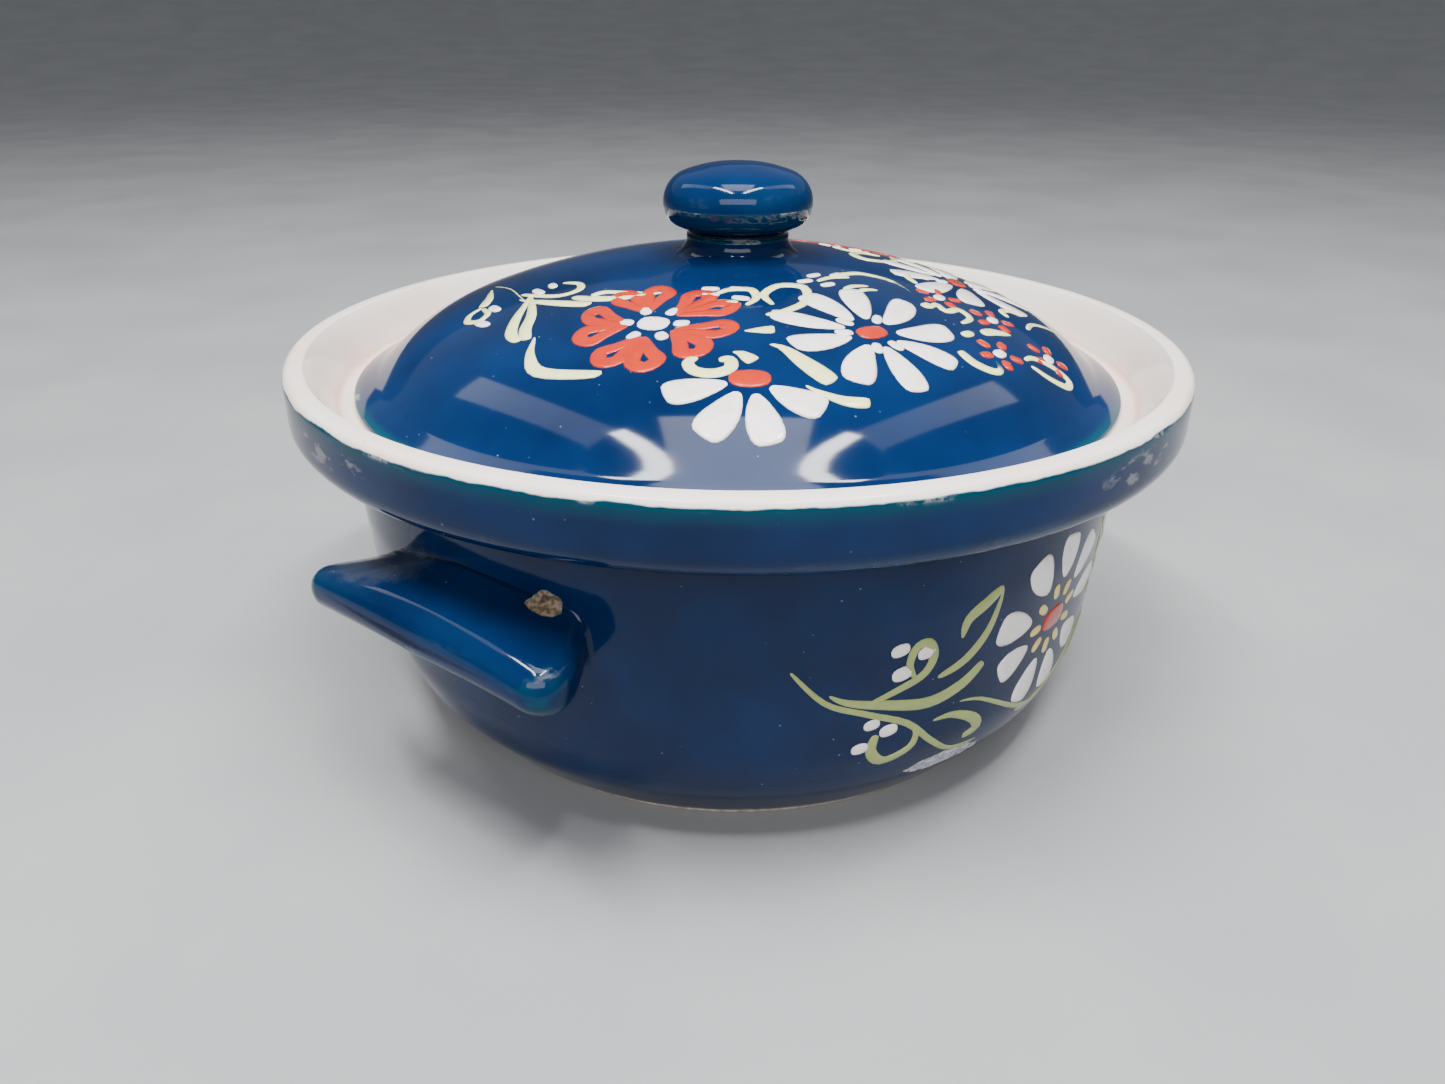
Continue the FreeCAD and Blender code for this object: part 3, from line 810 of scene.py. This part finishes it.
def section(half_width, half_thick, rounding):
    """Points round a flat bar's section: (across, up), with rounded corners."""
    points = []
    for quarter in range(4):
        side, rise = ((1, 1), (-1, 1), (-1, -1), (1, -1))[quarter]
        centre = Vector((side * (half_width - rounding), rise * (half_thick - rounding)))
        points += [centre + ray(quarter * 90 + turn, rounding) for turn in QUARTER]
        if quarter % 2 == 0:
            far = Vector((-centre.x, centre.y + rise * rounding))
            points += [points[-1].lerp(far, step / FLAT_STEPS) for step in range(1, FLAT_STEPS)]
    return points


def handle_ring(out):
    """One ring of the right-hand handle, out being 0 at the wall and 1 at the tip."""
    side_left, mid_left = (1 - out) * SIDE_REACH, (1 - out) * MID_REACH
    skirt = rounded_off(SKIRT, out * MID_REACH)
    half_width = HANDLE_HALF - HANDLE_FLARE * side_left
    half_width += rounded_off(SIDE_SKIRT, out * SIDE_REACH) - rounded_off(CORNER_ROUND, side_left)
    thick = ROOT_THICK + (TIP_THICK - ROOT_THICK) * out
    half_thick = thick / 2 - rounded_off(EDGE_ROUND, mid_left) + skirt
    rounding = min(EDGE_ROUND, half_thick * 0.98)
    points = []
    for across, up in section(half_width, half_thick, rounding):
        arch_radius = ARCH_RADIUS - ARCH_SPREAD * up / half_thick
        arch = across * across / (2 * arch_radius) * (1 - ARCH_EASE * out)
        twist = max(0.0, -across / HANDLE_HALF) * (TWIST_ROOT + (TWIST_TIP - TWIST_ROOT) * out)
        height = ROOT_MIDDLE + (TIP_MIDDLE - ROOT_MIDDLE) * out + up - arch + twist
        radius = wall_skin.profile(wall_skin.at_height(min(height, ROLL_UNDER - 4 * MM))).x - 0.4 * MM
        at_wall = math.sqrt(radius * radius - across * across)
        at_tip = HANDLE_TIP - across * across / (2 * TIP_RADIUS)
        points.append(Vector((at_wall + (at_tip - at_wall) * out, across, height)))
    return points


def drawn_out(rings):
    """A skin drawn out ring by ring, with both its ends closed."""
    bm = bmesh.new()
    place = bm.verts.layers.int.new("place")
    ring = [bm.verts.new(point) for point in rings[0]]
    for number, vert in enumerate(ring):
        vert[place] = number
    edges = [bm.edges.new(pair) for pair in zip(ring, ring[1:] + ring[:1])]
    bmesh.ops.edgeloop_fill(bm, edges=edges)
    for points in rings[1:]:
        grown = bmesh.ops.extrude_edge_only(bm, edges=edges)["geom"]
        ring = {item for item in grown if isinstance(item, bmesh.types.BMVert)}
        edges = [item for item in grown
                 if isinstance(item, bmesh.types.BMEdge) and ring.issuperset(item.verts)]
        for vert in ring:
            vert.co = points[vert[place]]
    bmesh.ops.edgeloop_fill(bm, edges=edges)
    bmesh.ops.recalc_face_normals(bm, faces=bm.faces)
    return bm


def make_handle(name, turn, material):
    """A lug handle: rings close together at its soft join and at its rounded tip, and far apart between."""
    skirt_outs = [SIDE_SKIRT / SIDE_REACH * (1 - math.cos(math.radians(angle))) for angle in QUARTER]
    tip_outs = [1 - EDGE_ROUND / MID_REACH * (1 - math.sin(math.radians(angle))) for angle in QUARTER]
    gap = (tip_outs[0] - skirt_outs[-1]) / (MIDDLE_RINGS + 1)
    middle_outs = [skirt_outs[-1] + gap * ring for ring in range(1, MIDDLE_RINGS + 1)]
    bm = drawn_out([handle_ring(out) for out in skirt_outs + middle_outs + tip_outs])
    for layer_name in ("lined", "bare"):
        layer = bm.verts.layers.float.new(layer_name)
        for vert in bm.verts:
            vert[layer] = UNMARKED
    turning = Matrix.Rotation(math.radians(turn), 3, AXIS)
    bmesh.ops.rotate(bm, verts=bm.verts, cent=(0, 0, 0), matrix=turning)
    for vert in bm.verts:
        vert.co = wobble(vert.co)
    note_edges(bm)
    shade_smooth(bm)
    finish_piece(bm, f"{name}_glazed", "pot", material, name)


# ---------------------------------------------------------------- the turned pieces

KNOB_BARE_SIDES = ray(305.7, 1.0).to_3d()  # the cap's crease and ring are bare on the two sides along this, square to the camera's line of sight
KNOB_KEPT = 5 * MM  # how far its bare band is drawn in between them


def make_pot(material):
    bm = turned(pot_line, TURN_STEPS,
                lined=pot_line.past("shoulder"),
                bare=pot_line.band("foot_inner", "foot_outer", half=2.6 * MM))
    finish_piece(bm, "pot_glazed", "pot", material, "pot_body")


def make_lid(material):
    bm = turned(lid_line, TURN_STEPS,
                lined=lid_line.past("seat_outer"),
                bare=lid_line.band("seat_inner", half=4.2 * MM))
    finish_piece(bm, "lid_glazed", "lid", material, "lid_dome")


def make_knob(material):
    bm = turned(knob_line, TURN_STEPS // 2,
                lined=[UNMARKED] * len(knob_line.points),
                bare=[depth - 0.6 * MM for depth in knob_line.band("crease", "ring", half=0.5 * MM)])
    bare = bm.verts.layers.float["bare"]
    # the bare band is kept to the two sides square to the camera's line of sight, and drawn in towards the
    # front and back
    for vert in bm.verts:
        vert[bare] -= KNOB_KEPT * (1 - abs(vert.co.dot(KNOB_BARE_SIDES)) / KNOB)
    finish_piece(bm, "knob_glazed", "lid", material, "lid_knob")


blue_and_white = glaze()
make_pot(blue_and_white)
make_lid(blue_and_white)
make_knob(blue_and_white)
for name, turn in (("handle_right", 0), ("handle_left", 180)):
    make_handle(name, turn, blue_and_white)
for paint in (lid_white, lid_coral, lid_leaf, wall_white, wall_coral, wall_leaf, wall_yellow):
    paint.finish()


# ---------------------------------------------------------------- studio

FLOOR_GREY, FLOOR_PALE = (0.31, 0.315, 0.325), (0.35, 0.355, 0.36)
FLOOR_REACH = 9.0
FLAT_REACH = 2.5  # beyond this the floor curves up into a backdrop
FLOOR_RISE = 0.055  # how steeply, in 1/m
FLOOR_SQUARES = 60


def make_floor():
    """A pale floor, flat round the pot and curved up far from it."""
    finish = Finish("pale_floor")
    mottle = finish.noise(9, 4)
    colour = finish.mix(mottle.step(0.3, 0.7), FLOOR_GREY, FLOOR_PALE)
    finish.join(finish.shader.inputs["Base Color"], colour)
    finish.join(finish.shader.inputs["Roughness"], mottle * 0.2 + 0.5)
    bm = bmesh.new()
    bmesh.ops.create_grid(bm, x_segments=FLOOR_SQUARES, y_segments=FLOOR_SQUARES, size=FLOOR_REACH)
    for vert in bm.verts:
        vert.co.z = FLOOR_RISE * max(0.0, vert.co.length - FLAT_REACH) ** 2
    shade_smooth(bm)
    mesh = bpy.data.meshes.new("floor")
    bm.to_mesh(mesh)
    bm.free()
    mesh.materials.append(finish.material)
    floor = bpy.data.objects.new("floor", mesh)
    bpy.context.scene.collection.objects.link(floor)


CAMERA_AZIMUTH = 215.7
CAMERA_REACH = 0.2992  # from the pot's axis, level
CAMERA_HEIGHT = 0.1799
CAMERA_PITCH = 25.8
CAMERA_YAW = 0.7
CAMERA_ROLL = 0.3
LENS = 27.03  # focal length in millimetres, as for a frame 36 mm wide
FRAME_WIDTH = 36.0
AIM = 0.1  # height above the floor that the soft lights face


def softbox(name, ahead, across, height, size, power, swing=0.0):
    """A soft rectangular light aimed at the lid, placed ahead of the pot's axis towards the camera."""
    forward = ray(CAMERA_AZIMUTH, 1.0).to_3d()
    place = forward * ahead + AXIS.cross(forward) * across + AXIS * height
    light = bpy.data.lights.new(name, "AREA")
    light.shape = "RECTANGLE"
    light.size, light.size_y = size
    light.energy = power
    lamp = bpy.data.objects.new(name, light)
    back = (place - AXIS * AIM).normalized()
    side = forward.cross(back).normalized()
    facing = Matrix((side, back.cross(side), back)).transposed().to_4x4()
    facing @= Matrix.Rotation(math.radians(swing), 4, "Z")
    lamp.matrix_world = Matrix.Translation(place) @ facing
    bpy.context.scene.collection.objects.link(lamp)


def make_camera():
    lens = bpy.data.cameras.new("camera")
    lens.lens = LENS
    lens.sensor_width = FRAME_WIDTH
    lens.clip_start = 0.01
    camera = bpy.data.objects.new("camera", lens)
    place = ray(CAMERA_AZIMUTH, CAMERA_REACH).to_3d() + AXIS * CAMERA_HEIGHT
    heading = Matrix.Rotation(math.radians(CAMERA_AZIMUTH - 270 + CAMERA_YAW), 4, "Z")
    tilt = Matrix.Rotation(math.radians(90 - CAMERA_PITCH), 4, "X")
    roll = Matrix.Rotation(math.radians(CAMERA_ROLL), 4, "Z")
    camera.matrix_world = Matrix.Translation(place) @ heading @ tilt @ roll
    bpy.context.scene.collection.objects.link(camera)
    bpy.context.scene.camera = camera


def make_lights():
    """Two long strips, which the lid mirrors, two dim wings beside them, a ceiling and a broad front."""
    for side in (-1, 1):
        softbox(f"strip_{side}", ahead=0.30, across=0.29 * side, height=1.15,
                size=(0.075, 0.62), power=14, swing=-28 * side)
        softbox(f"wing_{side}", ahead=-0.29, across=0.76 * side, height=1.10,
                size=(0.22, 0.95), power=1.9, swing=-36 * side)
    softbox("ceiling", ahead=0.15, across=0.0, height=1.30, size=(0.60, 0.55), power=12)
    softbox("front", ahead=1.6, across=0.0, height=1.1, size=(1.8, 0.6), power=22)


def make_world():
    world = bpy.data.worlds.new("studio")
    world.use_nodes = True
    sky = world.node_tree.nodes["Background"]
    sky.inputs["Color"].default_value = (0.62, 0.64, 0.68, 1)
    sky.inputs["Strength"].default_value = 0.44
    bpy.context.scene.world = world


make_floor()
make_camera()
make_lights()
make_world()
